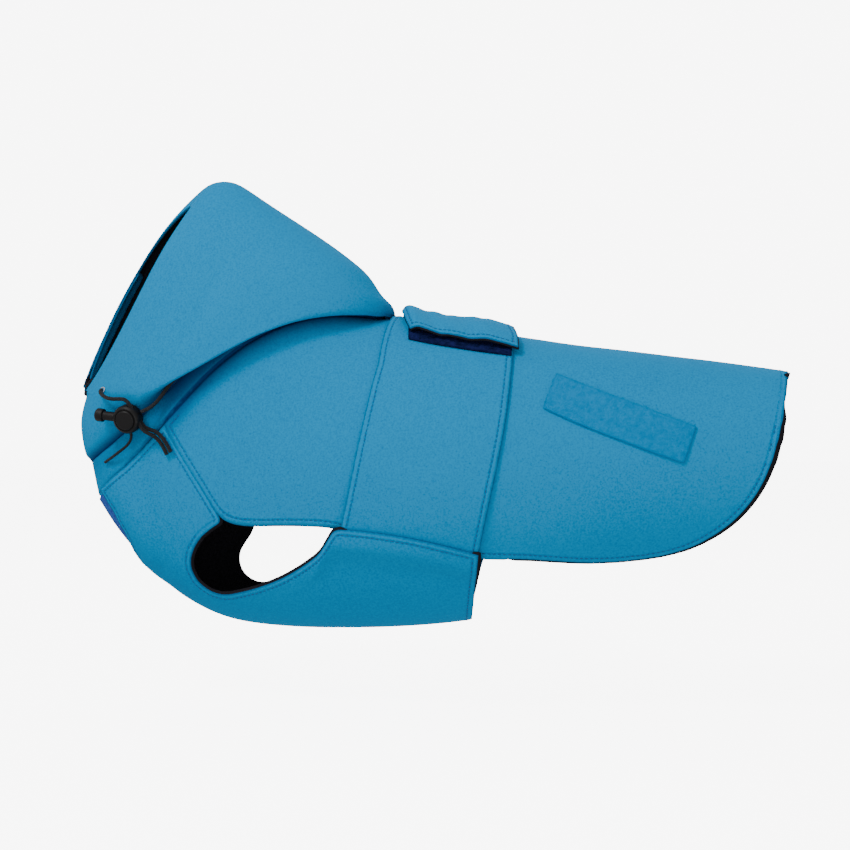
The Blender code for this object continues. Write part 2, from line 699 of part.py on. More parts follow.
def build_coat():
    clear_scene()
    back_panel()
    chest_panel("chest_left", -1)
    chest_panel("chest_right", 1)
    belt_left()
    belt_right()
    belt_tape("belt_loop_tape", LOOP_TAPE, ON_BELT_TAPE)
    belt_tape("belt_hook_tape", HOOK_TAPE, ON_HOOK_TAPE)
    closure_tape()
    tail_patch()
    hood_half("hood_left", -1)
    hood_half("hood_right", 1)
    hood_casing("hood_casing_left", -1)
    hood_casing("hood_casing_right", 1)
    collar()
    cord_lock()
    lock_button()
    eyelet()
    cord("front_cord", FRONT_CORD, CORD_RADIUS)
    cord("loose_cord", LOOSE_CORD, CORD_RADIUS)
    cord("rear_cord", REAR_CORD, CORD_RADIUS)
    cord("lock_retainer", RETAINER, RETAINER_RADIUS)


build_coat()
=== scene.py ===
# %% [markdown]
# # A dog's raincoat
# The coat is a hooded softshell, filled out and empty. Its cloth is laminated: a matte blue face
# with a black fleece back. It could be made as one closed skin, painted with seams. But every
# panel of the real coat was cut flat and sewn, so each one is its own sheet here, with its own
# edges, stitches and lining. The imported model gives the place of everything.

# %% Load the frame
import math

import bmesh
import bpy
import numpy as np
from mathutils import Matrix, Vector, noise
from mathutils.bvhtree import BVHTree
from mathutils.kdtree import KDTree


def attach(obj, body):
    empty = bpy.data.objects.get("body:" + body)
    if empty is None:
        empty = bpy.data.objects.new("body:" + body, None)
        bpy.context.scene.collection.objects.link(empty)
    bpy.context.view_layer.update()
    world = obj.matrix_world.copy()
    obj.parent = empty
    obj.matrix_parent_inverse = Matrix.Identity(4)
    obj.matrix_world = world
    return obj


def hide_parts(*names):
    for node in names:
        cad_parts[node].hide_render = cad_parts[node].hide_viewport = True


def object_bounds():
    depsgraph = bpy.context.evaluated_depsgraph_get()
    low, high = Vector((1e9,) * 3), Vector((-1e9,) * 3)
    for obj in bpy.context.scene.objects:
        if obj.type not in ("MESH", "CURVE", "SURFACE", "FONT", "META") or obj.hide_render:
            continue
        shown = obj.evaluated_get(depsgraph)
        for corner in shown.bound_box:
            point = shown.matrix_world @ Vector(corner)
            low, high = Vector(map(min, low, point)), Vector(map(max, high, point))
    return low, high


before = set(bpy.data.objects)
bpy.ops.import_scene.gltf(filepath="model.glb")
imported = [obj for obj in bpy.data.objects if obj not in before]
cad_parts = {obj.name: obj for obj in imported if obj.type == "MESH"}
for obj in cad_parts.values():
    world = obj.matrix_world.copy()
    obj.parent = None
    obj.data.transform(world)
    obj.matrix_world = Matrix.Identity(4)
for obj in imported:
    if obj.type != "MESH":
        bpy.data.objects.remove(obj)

MM = 0.001
COAT, BUTTON = "coat", "button"
cad_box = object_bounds()
print("frame size in mm:", [round((high - low) / MM) for low, high in zip(*cad_box)])

# %% [markdown]
# The photograph was taken from a little in front of the coat's side, level with its middle. A
# camera could be aimed with a constraint. Here its place, turn and lens are plain numbers, chosen
# so that the coat is as large as it is in the photograph.

# %% Camera
CAMERA_PLACE = (0.1457, -1.1883, -0.0673)
CAMERA_TURN = math.radians(8)
LENS = 72.08
SENSOR = 36.0

camera = bpy.data.objects.new("camera", bpy.data.cameras.new("camera"))
camera.data.lens = LENS
camera.data.sensor_width = SENSOR
camera.location = CAMERA_PLACE
camera.rotation_euler = (math.pi / 2, 0, CAMERA_TURN)
bpy.context.scene.collection.objects.link(camera)
bpy.context.scene.camera = camera
print("camera distance in m:", round(Vector(CAMERA_PLACE).length, 3))

# %% [markdown]
# Every finish below is a tree of nodes. It could be wired node by node, but shader maths reads
# best as plain sums. `Wire` holds one output socket of a node and turns Python's operators into
# Math nodes, and `Finish` makes every other kind of node in one way: the node's type, its
# settings, then its inputs.

# %% Shader helpers


class Wire:
    """One socket of a node, used in sums like a number."""

    def __init__(self, finish, socket):
        self.finish = finish
        self.socket = socket

    def sum(self, operation, *values):
        return self.finish.node("Math", {"operation": operation}, dict(enumerate(values)))

    def __add__(self, other):
        return self.sum("ADD", self, other)

    def __radd__(self, other):
        return self.sum("ADD", other, self)

    def __sub__(self, other):
        return self.sum("SUBTRACT", self, other)

    def __mul__(self, other):
        return self.sum("MULTIPLY", self, other)

    def __truediv__(self, other):
        return self.sum("DIVIDE", self, other)

    def __neg__(self):
        return self.sum("MULTIPLY", self, -1.0)

    def bell(self, middle, spread):
        """1 at the middle, falling to nothing a few spreads away."""
        away = (self - middle) / spread
        return self.sum("EXPONENT", -(away * away))

    def clamp(self):
        return self.finish.node("Clamp", {}, {"Value": self})


class Finish:
    """A material and the nodes that paint it."""

    def __init__(self, name):
        self.material = bpy.data.materials.new(name)
        self.material.use_nodes = True
        self.tree = self.material.node_tree
        self.shader = self.tree.nodes["Principled BSDF"]

    def node(self, kind, settings, inputs, output=0):
        """Makes a node, sets it up, fills its inputs and gives back one output as a Wire."""
        made = self.tree.nodes.new("ShaderNode" + kind)
        for name, value in settings.items():
            setattr(made, name, value)
        for name, value in inputs.items():
            self.fill(made.inputs[name], value)
        return Wire(self, made.outputs[output])

    def fill(self, socket, value):
        if isinstance(value, Wire):
            self.tree.links.new(value.socket, socket)
        else:
            socket.default_value = value

    def set(self, **values):
        """Fills sockets of the shader. An underscore in a name stands for a space."""
        for name, value in values.items():
            self.fill(self.shader.inputs[name.replace("_", " ")], value)

    def place(self):
        return self.node("TexCoord", {}, {}, "Object")

    def number(self, name):
        """A number that the mesh holds at each point."""
        return self.node("Attribute", {"attribute_name": name}, {}, "Fac")

    def noise(self, vector, scale, detail=2.0, rough=0.5):
        inputs = {"Vector": vector, "Scale": scale, "Detail": detail, "Roughness": rough}
        return self.node("TexNoise", {}, inputs)

    def mix(self, share, first, second):
        """A colour between two colours."""
        return self.node("Mix", {"data_type": "RGBA"}, {"Factor": share, 6: first, 7: second}, 2)

    def bump(self, height, distance, strength=1.0):
        return self.node("Bump", {}, {"Height": height, "Distance": distance, "Strength": strength})


def colour(red, green, blue):
    """A screen colour, from 0 to 255, as the light values that a shader takes."""
    parts = [value / 255 for value in (red, green, blue)]
    return tuple(v / 12.92 if v <= 0.04045 else ((v + 0.055) / 1.055) ** 2.4 for v in parts)


def opaque(values):
    """A colour with full alpha, as a colour socket takes it."""
    return (*values, 1.0)


print("mid grey as light:", [round(value, 3) for value in colour(128, 128, 128)])

# %% [markdown]
# The cord lock is moulded in two parts, a thick disc and the sprung button in its side. They
# could be spun again from a profile, but their shapes in the frame are right, and only the soft
# edges of a moulding are missing. So each is copied, merged and shaded smooth up to its sharp
# edges, and those get a small bevel. The finish is satin black, with the faint dimples of a mould.

# %% Cord lock and button
SHARP = math.radians(32)
MOULD_ROUND = 0.35 * MM
SAME_PLACE = 0.02 * MM


def link(name, mesh):
    """A new object in the scene, at the origin."""
    thing = bpy.data.objects.new(name, mesh)
    bpy.context.scene.collection.objects.link(thing)
    return thing


def ride(thing, body=COAT):
    """Makes a piece move with a body."""
    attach(thing, body)
    return thing


def merged_copy(node):
    """The node's mesh as a bmesh, in the frame's own place."""
    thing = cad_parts[node]
    build = bmesh.new()
    build.from_mesh(thing.data)
    build.transform(thing.matrix_world)
    bmesh.ops.remove_doubles(build, verts=build.verts, dist=SAME_PLACE)
    bmesh.ops.recalc_face_normals(build, faces=build.faces)
    return build


def moulding(name):
    finish = Finish(name)
    place = finish.place()
    orange_peel = finish.noise(place, 900.0, 2.0)
    smear = finish.noise(place, 120.0, 2.0)
    tint = finish.mix(smear, opaque(colour(7, 6, 7)), opaque(colour(16, 13, 14)))
    finish.set(Base_Color=tint, Roughness=0.42 + smear * 0.2, Normal=finish.bump(orange_peel, 0.00006, 0.4))
    finish.set(Specular_IOR_Level=0.25)
    return finish.material


PLASTIC = moulding("black plastic")


def mould(node, body):
    """Replaces a moulded node by a copy with soft edges."""
    build = merged_copy(node)
    mesh = bpy.data.meshes.new(node + "_moulding")
    build.to_mesh(mesh)
    build.free()
    mesh.shade_smooth()
    mesh.set_sharp_from_angle(angle=SHARP)
    thing = link(node + "_moulding", mesh)
    thing.data.materials.append(PLASTIC)
    soften = thing.modifiers.new("soft edges", "BEVEL")
    soften.width = MOULD_ROUND
    soften.segments = 2
    soften.limit_method = "ANGLE"
    soften.angle_limit = SHARP
    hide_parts(node)
    print(node, "faces before the bevel", len(mesh.polygons))
    return ride(thing, body)


lock_body = mould("cord_lock", COAT)
lock_button = mould("lock_button", BUTTON)

# %% [markdown]
# The draw cord is a round braided elastic, in three stretches, and a thinner loop holds the
# lock. A cord could be a mesh tube swept by hand, but a curve with a round bevel is lighter and
# keeps its width in every bend. Its route is the imported model's: a list of places by the lock,
# given as distances along the button's press, up the lock's face and out of its face. A smooth
# curve runs through them.

# %% Cords
LOCK_MIDDLE = Vector((-220.8, -53.3, -63.0)) * MM
LOCK_FACE = Vector((-0.180, -0.949, -0.260)).normalized()
PRESS_WAY = Vector((0.980, -0.151, -0.126))
LOCK_PRESS = (PRESS_WAY - LOCK_FACE * PRESS_WAY.dot(LOCK_FACE)).normalized()
LOCK_UP = LOCK_FACE.cross(LOCK_PRESS)
CORD_WIDTH = 2.7 * MM
RETAINER_WIDTH = 2.0 * MM
CORD_STEPS = 4
FRONT_CORD = (
    (-28.0, 13.6, -13.9), (-26.9, 13.4, -10.3), (-23.6, 12.6, -6.7), (-18.8, 12.0, -3.6), (-13.5, 12.2, -1.4),
    (-8.5, 13.1, -0.2), (-4.4, 13.8, 0.8), (-1.9, 13.7, 1.2), (0.2, 12.6, 1.4), (1.8, 10.9, 1.5),
    (3.2, 8.5, 1.5), (5.0, 5.5, 1.5), (7.2, 1.7, 1.5), (9.4, -2.0, 1.5), (11.0, -4.7, 1.4),
    (13.0, -6.9, 0.9), (15.6, -8.5, 0.1), (18.5, -9.9, -0.8), (21.1, -11.9, -1.5), (23.9, -14.6, -1.4),
    (26.9, -18.0, -0.5), (29.7, -21.7, 0.6),
)
LOOSE_CORD = (
    (3.2, 8.5, -1.5), (5.0, 5.5, -1.5), (7.2, 1.7, -1.5), (9.4, -2.0, -1.5), (11.3, -4.3, -1.6),
    (13.5, -5.7, -1.9), (16.3, -6.4, -2.2), (19.3, -7.1, -2.4), (22.4, -8.8, -2.3), (25.8, -11.5, -1.7),
    (29.2, -15.2, -0.8), (32.5, -19.6, 0.4),
)
REAR_CORD = (
    (36.0, 35.6, -11.0), (33.2, 32.6, -9.8), (28.6, 27.4, -9.0), (23.8, 20.6, -8.0), (19.4, 13.8, -6.2),
    (15.6, 9.6, -3.6), (12.4, 7.6, -1.4), (9.9, 6.0, 0.0),
)
RETAINER = (
    (1.5, -10.3, -1.0), (1.6, -14.0, -1.2), (-0.6, -18.4, -1.4), (-4.6, -22.6, -1.6), (-9.6, -26.8, -2.4),
    (-15.0, -31.2, -4.6), (-19.4, -34.6, -7.0), (-23.0, -37.4, -8.9),
)


def curved(rows, substeps):
    """The rows with smooth rows put in between."""
    rows = [np.array(row) for row in rows]
    rows = [2 * rows[0] - rows[1]] + rows + [2 * rows[-1] - rows[-2]]
    made = []
    for before, here, after, beyond in zip(rows, rows[1:], rows[2:], rows[3:]):
        for step in range(substeps):
            t = step / substeps
            made.append(0.5 * (
                2 * here + (after - before) * t
                + (2 * before - 5 * here + 4 * after - beyond) * t ** 2
                + (3 * here - before - 3 * after + beyond) * t ** 3))
    return made + [rows[-2]]


def elastic(name):
    finish = Finish(name)
    along = finish.node("UVMap", {}, {})
    inputs = {"Vector": along, "Scale": 26.0, "Distortion": 1.5}
    braid = finish.node("TexWave", {"bands_direction": "DIAGONAL"}, inputs)
    fuzz = finish.noise(finish.place(), 1800.0, 3.0)
    share = (braid * 0.6 + fuzz * 0.4).clamp()
    tint = finish.mix(share, opaque(colour(5, 5, 7)), opaque(colour(21, 18, 25)))
    finish.set(Base_Color=tint, Roughness=0.7, Normal=finish.bump(braid + fuzz * 0.5, 0.00025, 0.8))
    return finish.material


ELASTIC = elastic("black elastic cord")


def lay_cord(node, places, width):
    route = [
        LOCK_MIDDLE + (LOCK_PRESS * press + LOCK_UP * up + LOCK_FACE * out) * MM
        for press, up, out in curved(places, CORD_STEPS)]
    line = bpy.data.curves.new(node + "_line", "CURVE")
    line.dimensions = "3D"
    line.bevel_depth = width / 2
    line.bevel_resolution = 4
    line.use_fill_caps = True
    spline = line.splines.new("POLY")
    spline.points.add(len(route) - 1)
    for point, place in zip(spline.points, route):
        point.co = (*place, 1)
    line.materials.append(ELASTIC)
    thing = link(node + "_braid", line)
    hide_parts(node)
    ride(thing, COAT)
    length = sum((second - first).length for first, second in zip(route, route[1:]))
    tuple(route[0])
    print(node, "length in mm", round(length / MM, 1))


lay_cord("front_cord", FRONT_CORD, CORD_WIDTH)
lay_cord("loose_cord", LOOSE_CORD, CORD_WIDTH)
lay_cord("rear_cord", REAR_CORD, CORD_WIDTH)
lay_cord("lock_retainer", RETAINER, RETAINER_WIDTH)

# %% [markdown]
# The face cloth is a tight matte weave, and its back is black fleece. A weave could be drawn
# thread by thread on an unwrapped mesh. At this distance it reads as a fine grain, so noise in
# the object's own space gives it, with a faint mottle and no unwrapping. Seams and painted shade
# follow the sheet, so each sheet holds three numbers at every point: its distance from the edge in
# millimetres, whether that edge is stitched, and how much shade of the hood's fold or the lock is
# painted into its colour. The colour also gets painted shade along every edge and in the groove of
# each stitch row, and a faint painted highlight on the fold just inside the edge.

# %% Cloth finishes
BLUE = (0.0, 0.25, 0.52)
DEEP_BLUE = (0.0, 0.15, 0.38)
# The colour of the painted highlight on the edge's fold.
FOLD_HIGHLIGHT_BLUE = (0.02, 0.33, 0.62)
SHADOW_BLUE = (0.0, 0.03, 0.12)
BLACK_FLEECE = colour(15, 14, 18)
FLEECE_TIPS = colour(38, 36, 44)
SHEET_NUMBERS = ("edge_mm", "stitched", "painted_shade")
STITCH_INSET = 3.4
STITCH_DIP = 0.8
FOLD_AT, FOLD_WIDTH = 1.5, 0.9
SEAM_WIDTH = 0.7


def face_cloth():
    finish = Finish("blue softshell")
    place = finish.place()
    edge, stitched, painted_shade = (finish.number(name) for name in SHEET_NUMBERS)
    grain = finish.noise(place, 800.0, 3.0, 0.7)
    thread = finish.noise(place, 620.0, 2.0, 0.5)
    mottle = finish.noise(place, 45.0, 3.0, 0.6)
    cloud = finish.noise(place, 9.0, 2.0, 0.5)
    # The stitch row's dip is a real groove in the bump, and its darker tint is painted shade.
    dip = edge.bell(STITCH_INSET, STITCH_DIP) * stitched
    # Painted highlight along the fold just inside the edge.
    fold = edge.bell(FOLD_AT, FOLD_WIDTH)
    # Painted shade along the very edge, where the cloth turns under into a seam.
    seam = edge.bell(0.0, SEAM_WIDTH)
    uneven = (mottle - 0.5) * 0.15 + (cloud - 0.5) * 0.35 + (grain - 0.5) * 2.7
    tint = finish.mix((0.2 + uneven + dip * 0.35).clamp(), opaque(BLUE), opaque(DEEP_BLUE))
    tint = finish.mix((fold * 0.08).clamp(), tint, opaque(FOLD_HIGHLIGHT_BLUE))
    # Painted shade from the edge and from the sheet's own number for the hood's fold and the lock.
    tint = finish.mix((seam * 0.6 + painted_shade).clamp(), tint, opaque(SHADOW_BLUE))
    height = grain * 0.5 + thread * 0.5 - dip * 1.6
    finish.set(Base_Color=tint, Roughness=0.82 + (grain - 0.5) * 0.2)
    finish.set(Normal=finish.bump(height, 0.00025, 0.8))
    finish.set(Specular_IOR_Level=0.05)
    return finish.material


def fleece():
    finish = Finish("black fleece")
    place = finish.place()
    pile = finish.noise(place, 700.0, 4.0, 0.7)
    tuft = finish.noise(place, 160.0, 2.0, 0.5)
    tint = finish.mix((pile * 0.7 + tuft * 0.3).clamp(), opaque(BLACK_FLEECE), opaque(FLEECE_TIPS))
    finish.set(Base_Color=tint, Roughness=0.95, Normal=finish.bump(pile + tuft, 0.0006, 0.7))
    finish.set(Specular_IOR_Level=0.1)
    return finish.material


FACE = face_cloth()
LINING = fleece()
print("nodes in the face cloth:", len(FACE.node_tree.nodes), "in the fleece:", len(LINING.node_tree.nodes))

# %% [markdown]
# The frame's panels are coarse closed walls. A new cloth could be shrunk on to each, but it
# would lose the cut. So the wall's own mesh is copied and merged, the faces of its outer side are
# found, and the rest is thrown away. The rim's faces are the ones with an edge that runs straight
# through the cloth, and without them the two sides part.

# %% Take the outer sheet of a wall
COAT_MIDDLE = Vector((0, 0, -0.05))
EXACTLY = 0.012 * MM
DIRECTION_TESTS = (-0.2, 0.3)
FLAT_ENOUGH = math.radians(60)
SQUARE_ENOUGH = math.radians(70)


def goes_through(line, thickness, most):
    """Whether an edge is as long as the cloth is thick, and runs inwards from both its ends."""
    if abs(line.calc_length() - thickness) > EXACTLY:
        return False
    for vert in line.verts:
        way = (line.other_vert(vert).co - vert.co) / thickness
        if not any(face.normal.dot(way) < most for face in vert.link_faces if line not in face.edges):
            return False
    return True


def flood(left):
    """Takes a face and all that join it out of a set."""
    front = [left.pop()]
    part = set(front)
    while front:
        for line in front.pop().edges:
            for other in line.link_faces:
                if other in left:
                    left.discard(other)
                    part.add(other)
                    front.append(other)
    return part


def wall_sides(build, thickness):
    """The two sides of a wall, as sets of faces. Sharp folds need the looser test of direction."""
    for most in DIRECTION_TESTS:
        through = [line for line in build.edges if goes_through(line, thickness, most)]
        rim = {face for line in through for face in line.link_faces}
        left = set(build.faces) - rim
        parts = []
        while left:
            parts.append(flood(left))
        if len(parts) > 1:
            break
    sides = sorted(parts, key=len, reverse=True)[:2]
    for side in sides:
        points = {vert for face in side for vert in face.verts}
        side.update(face for face in rim if points.issuperset(face.verts))
    return sides


def faces_outwards(side):
    """Whether a side looks away from the middle line of the coat."""
    total = 0
    for face in side:
        away = face.calc_center_median() - COAT_MIDDLE
        away.x = 0
        total += face.normal.dot(away) * face.calc_area()
    return total > 0


def outer_sheet(node, thickness):
    """A bmesh of the outer side of a panel alone, in quads as far as they go."""
    build = merged_copy(node)
    keep = next(side for side in wall_sides(build, thickness) if faces_outwards(side))
    bmesh.ops.delete(build, geom=[face for face in build.faces if face not in keep], context="FACES")
    bmesh.ops.join_triangles(
        build, faces=build.faces, angle_face_threshold=FLAT_ENOUGH, angle_shape_threshold=SQUARE_ENOUGH)
    return build


print("nodes in the frame:", len(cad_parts))

# %% [markdown]
# A sheet is smoothed by subdivision, which keeps its corners. Cloth simulation could crumple it,
# but these panels are held tight by their seams, and neighbours have to keep meeting. So every
# point learns how far it lies from the edge, and cloth's own unevenness goes in: a long soft wave
# that is one and the same for all panels, grooves where the coat is dented or creased, small
# puckers along the stitched edges, and a dip at the very edge, where the cloth turns under.

# %% Smooth and crumple a sheet
SMOOTHING = 3
WAY_SPAN = 4
MOST_PULL = 0.5 * MM
WAVE = 0.7 * MM
WAVE_SIZE = 55 * MM
PUCKER = 0.28 * MM
PUCKER_SIZE = 6.5
PUCKER_REACH = 4.5
PUCKER_DRIFT = 14
EDGE_DIP = 0.32 * MM
EDGE_WIDTH = 1.4
# Each groove: from, to, depth and spread, all in millimetres
GROOVES = (
    ((-147, -56, 55), (-178, -60, -4), 1.5, 8),
    ((-24, -72, -87), (-8, -72, -92), 1.0, 11),
    ((48, -62, -116), (62, -60, -121), 1.2, 12),
    ((-20, -62, 6), (30, -60, -4), 0.8, 12),
    ((-6, 8, 17), (-6, -20, 10), 1.8, 4),
    ((20, 8, 14), (20, -20, 8), 1.8, 4),
)


def baked(thing):
    """The thing's mesh with its modifiers applied."""
    graph = bpy.context.evaluated_depsgraph_get()
    mesh = bpy.data.meshes.new_from_object(thing.evaluated_get(graph))
    thing.modifiers.clear()
    thing.data = mesh
    return thing


def smoothed(name, build, levels):
    """Subdivides a mesh. Its points are moved out beforehand by as much as this pulls them in."""
    mesh = bpy.data.meshes.new(name)
    build.to_mesh(mesh)
    build.free()
    thing = link(name, mesh)
    smooth = thing.modifiers.new("smooth", "SUBSURF")
    smooth.levels = smooth.render_levels = levels
    smooth.boundary_smooth = "PRESERVE_CORNERS"
    graph = bpy.context.evaluated_depsgraph_get()
    pulled = thing.evaluated_get(graph).data.vertices
    gaps = [vert.co - pulled[vert.index].co for vert in mesh.vertices]
    for vert, gap in zip(mesh.vertices, gaps):
        vert.co += gap * min(1.0, MOST_PULL / max(gap.length, MOST_PULL))
    mesh.update()
    return baked(thing)


def border_rings(mesh):
    """Each closed border of a sheet, as a list of point numbers in order."""
    build = bmesh.new()
    build.from_mesh(mesh)
    after = {}
    for line in build.edges:
        if line.is_boundary:
            loop = line.link_loops[0]
            after[loop.vert.index] = loop.link_loop_next.vert.index
    build.free()
    rings = []
    while after:
        start, here = after.popitem()
        ring = [start]
        while here != start:
            ring.append(here)
            here = after.pop(here)
        rings.append(ring)
    return rings


def border_walks(mesh):
    """Each closed border of a sheet, as a list of places in order."""
    return [[mesh.vertices[index].co.copy() for index in ring] for ring in border_rings(mesh)]


def outward_ways(mesh):
    """For each border point, its number and the way out of the sheet there, along the cloth. The
    ways are averaged along the border, so that they turn evenly."""
    points = mesh.vertices
    for ring in border_rings(mesh):
        ways = []
        for index, here in enumerate(ring):
            way = points[ring[(index + WAY_SPAN) % len(ring)]].co - points[ring[index - WAY_SPAN]].co
            ways.append(way.cross(points[here].normal).normalized())
        for index, here in enumerate(ring):
            near = [ways[(index + step) % len(ring)] for step in range(-2 * WAY_SPAN, 2 * WAY_SPAN + 1)]
            yield here, sum(near, Vector()).normalized()


def ease(value, low, high):
    """From 0 at low to 1 at high, with a soft start and end."""
    share = min(max((value - low) / (high - low), 0.0), 1.0)
    return share * share * (3 - 2 * share)


def fading(value, spread):
    """1 at nothing, fading away over a few spreads."""
    return math.exp(-((value / spread) ** 2))


def dent_along(start, end, depth, spread):
    """A soft groove in the cloth along a line, in millimetres."""
    start, end = Vector(start) * MM, Vector(end) * MM
    line = end - start

    def dent(place):
        share = min(max((place - start).dot(line) / line.length_squared, 0.0), 1.0)
        return depth * MM * fading((place - start - line * share).length / MM, spread)
    return dent


DENTS = [dent_along(*groove) for groove in GROOVES]


def spaced(walk, step, closed=True):
    """Points a step apart along a walk, each with its distance along it and its direction."""
    corners = walk + walk[:1] if closed else walk
    marks, run, left = [], 0.0, 0.0
    for first, second in zip(corners, corners[1:]):
        length = (second - first).length
        if length == 0:
            continue
        way = (second - first) / length
        while left <= length:
            marks.append((first + way * left, run + left, way))
            left += step
        left -= length
        run += length
    return marks


def edge_finder(walks):
    """A tree of border points, with the distance along the border of each."""
    marks = [mark for walk in walks for mark in spaced(walk, 1.0 * MM)]
    tree = KDTree(len(marks))
    for index, (place, _, _) in enumerate(marks):
        tree.insert(place, index)
    tree.balance()
    return tree, marks


def no_fold(place):
    """How a fold moves a place, and how much shade is painted on it: not at all."""
    return Vector((0, 0, 0)), 0.0


def crumple(thing, stitched, edge_dip=EDGE_DIP, pucker=PUCKER, fold=no_fold):
    """Gives a sheet its three numbers and moves its points as cloth would lie."""
    mesh = thing.data
    tree, marks = edge_finder(border_walks(mesh))
    edge, sewn, painted_shade = (mesh.attributes.new(name, "FLOAT", "POINT") for name in SHEET_NUMBERS)
    normals = [vert.normal.copy() for vert in mesh.vertices]
    for vert, normal in zip(mesh.vertices, normals):
        place = vert.co.copy()
        near, index, distance = tree.find(place)
        inset = distance / MM
        edge.data[vert.index].value = inset
        has_stitches = 1.0 if stitched(near) else 0.0
        sewn.data[vert.index].value = has_stitches
        shift = WAVE * noise.noise(place / WAVE_SIZE)
        along = marks[index][1] / MM / PUCKER_SIZE
        hold = fading(inset - STITCH_INSET, PUCKER_REACH) * has_stitches
        shift += pucker * hold * noise.noise(Vector((along, inset / PUCKER_DRIFT, near.z * 3)))
        shift -= edge_dip * fading(inset, EDGE_WIDTH)
        shift -= sum(dent(place) for dent in DENTS)
        # The fold gives each point its move and the shade painted on it there.
        move, painted_shade.data[vert.index].value = fold(place)
        vert.co = place + normal * shift + move
    mesh.update()


print("grooves in the cloth:", len(DENTS))

# %% [markdown]
# The sheet gets its thickness last. Solidify could do it, but it throws spikes where a sheet
# folds tightly, and it can't let one side stand out. Here the back lies one thickness behind the
# face, along directions that are evened out first, and a rounded rim runs between them. At a hem
# the fleece was cut to stand out a little past the face, which shows as a dark line.

# %% Thicken a sheet
CLOTH = 2.0 * MM
RIM_ROUND = 0.25 * MM
SEAM_REACH = 0.45 * MM
DARK_FROM = 0.4
EVENINGS = 6
RIM_DEPTHS = (0.35, 0.7)


def even_normals(mesh):
    """The mesh's normals, each averaged with its neighbours' a few times."""
    lines = np.array([line.vertices for line in mesh.edges])
    normals = np.array([vert.normal for vert in mesh.vertices])
    for _ in range(EVENINGS):
        total = normals.copy()
        np.add.at(total, lines[:, 0], normals[lines[:, 1]])
        np.add.at(total, lines[:, 1], normals[lines[:, 0]])
        normals = total / np.linalg.norm(total, axis=1, keepdims=True)
    return normals


def thicken(thing, thickness, materials, lip, reach=SEAM_REACH):
    """Closes a sheet with a back and a rim. Where lip gives a width in millimetres, the back
    stands out that far past the face and the rim is made of it. Elsewhere, at a seam, the
    edge reaches a little into its neighbour."""
    sheet = thing.data
    count = len(sheet.vertices)
    depths = even_normals(sheet) * thickness
    front = np.array([vert.co for vert in sheet.vertices])
    back = front - depths
    ways = outward_ways(sheet)
    out = {index: (np.array(way), lip(sheet.vertices[index].co)) for index, way in ways}
    for index, (way, width) in out.items():
        back[index] += way * width * MM
        front[index] += way * reach * max(0.0, 1 - width)
    points = [*front, *back]
    faces = [tuple(face.vertices) for face in sheet.polygons]
    slots = [0] * len(faces) + [len(materials) - 1] * len(faces)
    faces += [tuple(index + count for index in face[::-1]) for face in faces]
    for ring in border_rings(sheet):
        rows = [ring]
        for depth, spread in zip(RIM_DEPTHS, (0, 1)):
            rows.append(list(range(len(points), len(points) + len(ring))))
            for index in ring:
                way, width = out[index]
                stand_out = RIM_ROUND + width * spread * MM
                points.append(front[index] - depths[index] * depth + way * stand_out)
        rows.append([index + count for index in ring])
        for number, (upper, lower) in enumerate(zip(rows, rows[1:])):
            for place in range(len(ring)):
                faces.append((upper[place], upper[place - 1], lower[place - 1], lower[place]))
                dark = number > 0 and out[ring[place]][1] > DARK_FROM
                slots.append(len(materials) - 1 if dark else 0)
    mesh = bpy.data.meshes.new(thing.name)
    mesh.from_pydata([tuple(point) for point in points], [], faces)
    for name in SHEET_NUMBERS:
        values = np.zeros(len(points))
        values[:count] = [value.value for value in sheet.attributes[name].data]
        mesh.attributes.new(name, "FLOAT", "POINT").data.foreach_set("value", values)
    for material in materials:
        mesh.materials.append(material)
    mesh.polygons.foreach_set("material_index", slots)
    mesh.update()
    mesh.shade_smooth()
    thing.data = mesh


def always(place):
    """An edge that is stitched all the way."""
    return True


def never(place):
    """An edge with no stitches, or with no lining to see."""
    return 0


def cloth_area(thing):
    """The area of one side of a closed sheet, in square metres."""
    return sum(face.area for face in thing.data.polygons) / 2


print("cloth thickness in mm:", round(CLOTH / MM, 2), "seam reach in mm:", round(SEAM_REACH / MM, 2))

# %% [markdown]
# Stitches are short threads lying in a row a few millimetres inside the edge. They could be
# painted as dashes, but they catch the light, so they are modelled. The row is found by stepping
# in from the edge across the cloth, and leaving out places where another edge is nearer. One
# stitch is a slim capsule of few faces, because there are thousands of them.

# %% Rows of stitches
STITCH = 2.5 * MM
STITCH_GAP = 0.9 * MM
THREAD = 0.24 * MM
STITCH_LIFT = 0.06 * MM
LEAST_STEP = 0.2 * MM
LEAST_RUN = 6
CLEAR_SHARE = 0.93
SIDES = 6
# Each hoop of a stitch: place along it, size, and depth in the cloth in millimetres
HOOPS = ((-0.5, 0.35, 0.25), (-0.36, 0.85, 0.05), (0, 1, 0), (0.36, 0.85, 0.05), (0.5, 0.35, 0.25))


def thread_finish(name, tone):
    finish = Finish(name)
    twist = finish.noise(finish.place(), 2600.0, 2.0)
    tint = finish.mix(twist, opaque(tone), opaque(tuple(value * 0.7 for value in tone)))
    finish.set(Base_Color=tint, Roughness=0.6, Normal=finish.bump(twist, 0.0001, 0.5))
    return finish.material


BLUE_THREAD = thread_finish("blue thread", (0.0, 0.055, 0.22))


